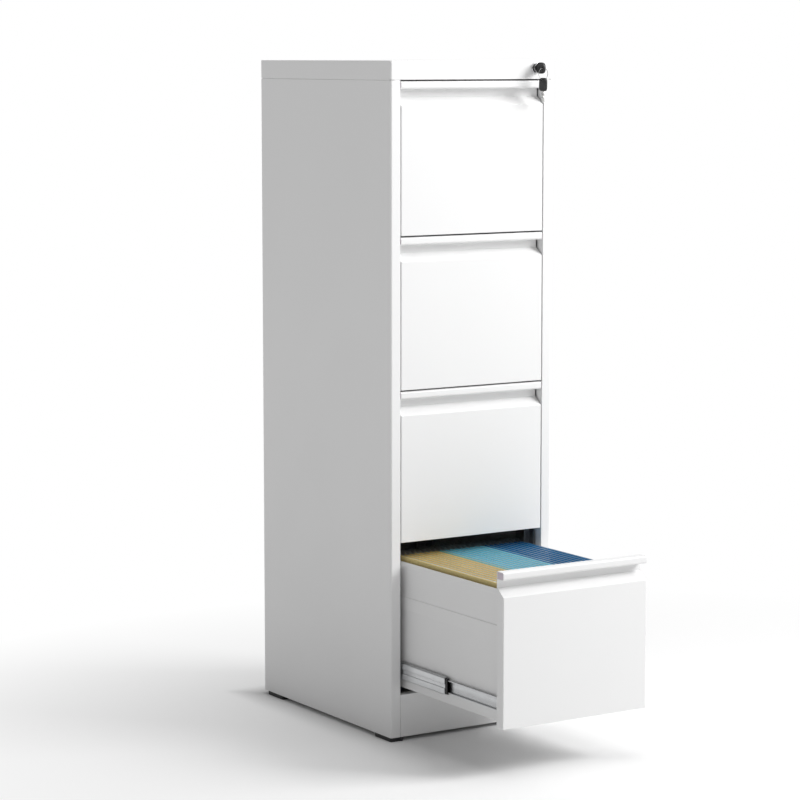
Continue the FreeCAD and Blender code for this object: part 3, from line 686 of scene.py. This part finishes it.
def keys():
    """The heads of both keys, the split ring between them, and the spare key's blade."""
    low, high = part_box("key_head")
    ring_low, ring_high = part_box("key_ring")
    centre = (ring_low + ring_high) / 2
    radius = (ring_high.x - ring_low.x) / 2 - RING_WIRE * 1.6
    hole = (centre.y, (low.z + high.z) / 2)
    piece("key_bow", lambda mesh: bow(mesh, low, high, hole, KEY_ROUNDNESS),
          "black_plastic", "lock_plug", ("key_head",))
    piece("key_split_ring", lambda mesh: split_ring(mesh, centre, radius),
          "key_steel", "key_ring", ("key_ring",))
    blade_low, blade_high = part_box("key_blade")
    spare_hole = (centre.y, ring_low.z - SPARE_HANG / 2)
    spare_top = spare_hole[1] + SPARE_MARGIN
    width, length = high.z - low.z, high.y - low.y
    spare_low = Vector((low.x, centre.y - width / 2, spare_top - length))
    spare_high = Vector((high.x, centre.y + width / 2, spare_top))
    piece("spare_key_bow", lambda mesh: bow(mesh, spare_low, spare_high, spare_hole, SPARE_ROUNDNESS),
          "black_plastic", "key_ring")
    thick = blade_high.x - blade_low.x
    half = (blade_high.z - blade_low.z) / 2
    piece("spare_key_blade", lambda mesh: spare_blade(
        mesh, centre.x, centre.y, spare_low.z + SPARE_ROOT, SPARE_BLADE, half, thick),
        "key_steel", "key_ring")


# ---- floor, light and camera ------------------------------------------------------------------

FLOOR_SIZE = 30.0
# The floor's painted glow: none within FADE_START of this point, full from FADE_END on.
FADE_CENTRE = (0.1, -0.4, 0)
FADE_START, FADE_END = 0.25, 1.7
BASE_SHADOW = 0.07
FILL = 0.27
BOX_SIZE = 2.0
KEY_POWER, OVERHEAD_POWER = 190, 40
LENS, SENSOR = 123.65, 36
CAMERA_SIDE, CAMERA_BACK, CAMERA_HEIGHT = -2.9957, 4.4645, 1.3410
CAMERA_TILT, CAMERA_TURN = 90 - 7.16156, -32.34144


def beside_cabinet(finish):
    """0 under the cabinet, rising to 1 a little way outside its base: the floor's painted glow is held
    off the ground under and just beside the base.
    """
    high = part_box("base_pan")[1]
    edges = []
    parts = finish.node("ShaderNodeSeparateXYZ")
    finish.link(finish.place, parts.inputs["Vector"])
    for axis, half in (("X", high.x), ("Y", high.y)):
        size = finish.node("ShaderNodeMath")
        size.operation = "ABSOLUTE"
        finish.link(parts.outputs[axis], size.inputs[0])
        beyond = finish.node("ShaderNodeMath")
        beyond.operation = "SUBTRACT"
        beyond.inputs[1].default_value = half
        finish.link(size.outputs["Value"], beyond.inputs[0])
        edges.append(beyond)
    furthest = finish.node("ShaderNodeMath")
    furthest.operation = "MAXIMUM"
    for edge, socket in zip(edges, furthest.inputs):
        finish.link(edge.outputs["Value"], socket)
    rise = finish.node("ShaderNodeMapRange")
    rise.inputs["From Max"].default_value = BASE_SHADOW
    finish.link(furthest.outputs["Value"], rise.inputs["Value"])
    return rise.outputs["Result"]


def floor():
    """Pale studio floor with painted light: away from the cabinet it glows plain white, lightening the
    cabinet's cast shadow the further it reaches.
    """
    finish = Finish("studio_floor", (0.86, 0.86, 0.86), 0.8, specular=0.1)
    finish.vary_roughness(finish.noise(6), 0.75, 0.85)
    tree = finish.tree
    distance = finish.node("ShaderNodeVectorMath")
    distance.operation = "DISTANCE"
    distance.inputs[1].default_value = FADE_CENTRE
    finish.link(finish.place, distance.inputs[0])
    fade = finish.node("ShaderNodeMapRange")
    fade.inputs["From Min"].default_value = FADE_START
    fade.inputs["From Max"].default_value = FADE_END
    finish.link(distance.outputs["Value"], fade.inputs["Value"])
    painted_glow = finish.node("ShaderNodeMath")
    painted_glow.operation = "MULTIPLY"
    finish.link(fade.outputs["Result"], painted_glow.inputs[0])
    finish.link(beside_cabinet(finish), painted_glow.inputs[1])
    # Painted light: the floor glows white by this share, more the further it is from the cabinet.
    white = finish.node("ShaderNodeEmission")
    white.inputs["Strength"].default_value = 1.0
    mix = finish.node("ShaderNodeMixShader")
    finish.link(painted_glow.outputs["Value"], mix.inputs["Fac"])
    finish.link(finish.shader.outputs["BSDF"], mix.inputs[1])
    finish.link(white.outputs["Emission"], mix.inputs[2])
    finish.link(mix.outputs["Shader"], tree.nodes["Material Output"].inputs["Surface"])
    mesh = bmesh.new()
    bmesh.ops.create_grid(mesh, x_segments=4, y_segments=4, size=FLOOR_SIZE / 2)
    data = bpy.data.meshes.new("floor")
    mesh.to_mesh(data)
    mesh.free()
    data.materials.append(finish.material)
    made = bpy.data.objects.new("floor", data)
    bpy.context.collection.objects.link(made)


def surroundings():
    """White studio: plain white behind the cabinet, a softer fill as light."""
    world = bpy.data.worlds.new("studio")
    world.use_nodes = True
    bpy.context.scene.world = world
    nodes, links = world.node_tree.nodes, world.node_tree.links
    background = nodes["Background"]
    background.inputs["Color"].default_value = (1, 1, 1, 1)
    path = nodes.new("ShaderNodeLightPath")
    spread = nodes.new("ShaderNodeMapRange")
    spread.inputs["To Min"].default_value = FILL
    spread.inputs["To Max"].default_value = 1.0
    links.new(path.outputs["Is Camera Ray"], spread.inputs["Value"])
    links.new(spread.outputs["Result"], background.inputs["Strength"])


def softbox(name, place, target, size, power):
    """A square area light that points at the target."""
    light = bpy.data.lights.new(name, "AREA")
    light.size = size
    light.energy = power
    made = bpy.data.objects.new(name, light)
    made.location = place
    made.rotation_euler = (Vector(target) - Vector(place)).to_track_quat("-Z", "Y").to_euler()
    bpy.context.collection.objects.link(made)


def lights(front):
    softbox("key", (2.8, front - 2.3, 3.0), (0, front, 0.75), BOX_SIZE, KEY_POWER)
    softbox("overhead", (0.3, front - 0.3, 3.6), (0, front, 0), BOX_SIZE, OVERHEAD_POWER)


def camera(front):
    """From the front left, a little above the lid's height, with a long lens."""
    lens = bpy.data.cameras.new("camera")
    lens.lens = LENS
    lens.sensor_width = SENSOR
    lens.clip_end = 100
    made = bpy.data.objects.new("camera", lens)
    made.location = (CAMERA_SIDE, front - CAMERA_BACK, CAMERA_HEIGHT)
    made.rotation_euler = (math.radians(CAMERA_TILT), 0, math.radians(CAMERA_TURN))
    bpy.context.collection.objects.link(made)
    bpy.context.scene.camera = made


# ---- assembly ---------------------------------------------------------------------------------

finish_nodes()
for drawer in DRAWERS:
    inner_rails(drawer)
    middle_rails(drawer)
    ball_cages(drawer)
cabinet_rails()
hanging_files()
keys()
front_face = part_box("top_cap")[0].y
floor()
surroundings()
lights(front_face)
camera(front_face)
bpy.context.scene.view_settings.view_transform = "Standard"
